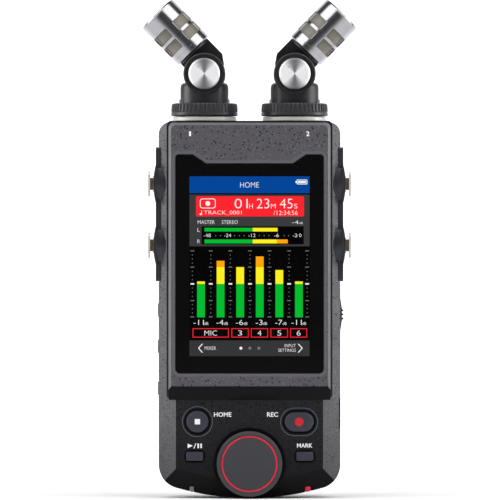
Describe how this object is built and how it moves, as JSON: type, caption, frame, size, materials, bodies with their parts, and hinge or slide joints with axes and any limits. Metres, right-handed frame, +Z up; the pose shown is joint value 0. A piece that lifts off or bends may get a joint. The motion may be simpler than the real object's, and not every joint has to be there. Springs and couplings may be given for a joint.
{
  "type": "portable audio recorder",
  "caption": "Hand-held field recorder with a touch screen, a control dial, side combination jacks and tilting microphones on its head end.",
  "frame": {"origin": "centre of the footprint, on the plane of the lowest point of the curved foot end", "axes": "+Z runs up the case towards the microphones, the screen faces -Y, +X is the operator's right"},
  "size_m": [0.0884, 0.0352, 0.2065],
  "materials": {
    "speckled_plastic": "fine speckle, satin",
    "black_plastic": "satin",
    "screen_glass": "polished black",
    "lcd": "smooth",
    "board": "solder mask",
    "key_top": "satin",
    "dial_metal": "dark anodised, spun",
    "red_plastic": "translucent red",
    "grey_lens": "translucent grey",
    "silver_metal": "satin anodised",
    "gunmetal": "polished gunmetal",
    "wire_mesh": "woven wire",
    "steel": "plated",
    "brass": "turned",
    "cell_jacket": "plain jacket"
  },
  "bodies": {
    "case": {"front_shell": "speckled_plastic", "rear_shell": "speckled_plastic", "display_bezel": "speckled_plastic", "screen_glass": "screen_glass", "lcd_module": "lcd", "main_board": "board", "dial_encoder": "steel", "power_slider_guide": "black_plastic", "usb_port": "steel", "card_socket": "steel", "speaker_driver": "black_plastic", "tripod_bushing": "brass", "lower_contact": "steel", "upper_contact": "steel", "peak_light": "grey_lens", "rec_light": "red_plastic", "line_out_jack": "black_plastic", "ext_in_jack": "black_plastic", "phones_jack": "black_plastic", "battery_cell_1": "cell_jacket", "case_screw_1": "steel", "battery_cell_2": "cell_jacket", "case_screw_2": "steel", "battery_cell_3": "cell_jacket", "case_screw_3": "steel", "battery_cell_4": "cell_jacket", "case_screw_4": "steel", "left_flank_panel": "black_plastic", "left_upper_jack": "black_plastic", "left_lower_jack": "black_plastic", "left_mic_mount": "silver_metal", "left_mic_holder": "black_plastic", "left_pivot_bolt": "steel", "right_flank_panel": "black_plastic", "right_upper_jack": "black_plastic", "right_lower_jack": "black_plastic", "right_mic_mount": "silver_metal", "right_mic_holder": "black_plastic", "right_pivot_bolt": "steel"},
    "left_microphone": {"left_mic_arm": "black_plastic", "left_mic_head": "gunmetal", "left_mic_screen": "wire_mesh"},
    "left_ring": {"left_lock_ring": "black_plastic"},
    "left_upper_release_tab_body": {"left_upper_release_tab": "steel"},
    "left_lower_release_tab_body": {"left_lower_release_tab": "steel"},
    "right_microphone": {"right_mic_arm": "black_plastic", "right_mic_head": "gunmetal", "right_mic_screen": "wire_mesh"},
    "right_ring": {"right_lock_ring": "black_plastic"},
    "right_upper_release_tab_body": {"right_upper_release_tab": "steel"},
    "right_lower_release_tab_body": {"right_lower_release_tab": "steel"},
    "dial_stem": {"dial_shaft": "steel"},
    "dial_knob": {"dial": "dial_metal", "dial_ring": "red_plastic"},
    "home_key_body": {"home_key": "key_top"},
    "rec_key_body": {"rec_key": "key_top"},
    "play_key_body": {"play_key": "key_top"},
    "mark_key_body": {"mark_key": "key_top"},
    "power_slider_body": {"power_slider": "black_plastic"},
    "battery_door_body": {"battery_door": "speckled_plastic"}
  },
  "joints": [
    {"name": "left_mic_tilt", "type": "hinge", "parent": "case", "child": "left_microphone", "pos_m": [-0.0187, 0.0015, 0.1756], "axis": [0, 1, 0], "range_deg": [0, 55]},
    {"name": "left_ring_turn", "type": "hinge", "parent": "case", "child": "left_ring", "pos_m": [-0.0187, 0.0015, 0.1609], "axis": [0, 0, 1], "continuous": true},
    {"name": "left_upper_release", "type": "slide", "parent": "case", "child": "left_upper_release_tab_body", "axis": [1, 0, 0], "range_m": [0, 0.0012], "stiffness_N_per_m": 900},
    {"name": "left_lower_release", "type": "slide", "parent": "case", "child": "left_lower_release_tab_body", "axis": [1, 0, 0], "range_m": [0, 0.0012], "stiffness_N_per_m": 900},
    {"name": "right_mic_tilt", "type": "hinge", "parent": "case", "child": "right_microphone", "pos_m": [0.0187, 0.0015, 0.1756], "axis": [0, -1, 0], "range_deg": [0, 55]},
    {"name": "right_ring_turn", "type": "hinge", "parent": "case", "child": "right_ring", "pos_m": [0.0187, 0.0015, 0.1609], "axis": [0, 0, 1], "continuous": true},
    {"name": "right_upper_release", "type": "slide", "parent": "case", "child": "right_upper_release_tab_body", "axis": [-1, 0, 0], "range_m": [0, 0.0012], "stiffness_N_per_m": 900},
    {"name": "right_lower_release", "type": "slide", "parent": "case", "child": "right_lower_release_tab_body", "axis": [-1, 0, 0], "range_m": [0, 0.0012], "stiffness_N_per_m": 900},
    {"name": "dial_press", "type": "slide", "parent": "case", "child": "dial_stem", "axis": [0, 1, 0], "range_m": [0, 0.0005], "stiffness_N_per_m": 2500},
    {"name": "dial_turn", "type": "hinge", "parent": "dial_stem", "child": "dial_knob", "pos_m": [0, -0.0136, 0.0144], "axis": [0, 1, 0], "continuous": true},
    {"name": "home_key_press", "type": "slide", "parent": "case", "child": "home_key_body", "axis": [0, 1, 0], "range_m": [0, 0.0006], "stiffness_N_per_m": 1500},
    {"name": "rec_key_press", "type": "slide", "parent": "case", "child": "rec_key_body", "axis": [0, 1, 0], "range_m": [0, 0.0006], "stiffness_N_per_m": 1500},
    {"name": "play_key_press", "type": "slide", "parent": "case", "child": "play_key_body", "axis": [0, 1, 0], "range_m": [0, 0.0006], "stiffness_N_per_m": 1500},
    {"name": "mark_key_press", "type": "slide", "parent": "case", "child": "mark_key_body", "axis": [0, 1, 0], "range_m": [0, 0.0006], "stiffness_N_per_m": 1500},
    {"name": "power_slide", "type": "slide", "parent": "case", "child": "power_slider_body", "axis": [0, 0, 1], "range_m": [-0.0025, 0.0025]},
    {"name": "battery_door_slide", "type": "slide", "parent": "case", "child": "battery_door_body", "axis": [0, 0, -1], "range_m": [0, 0.006]}
  ]
}
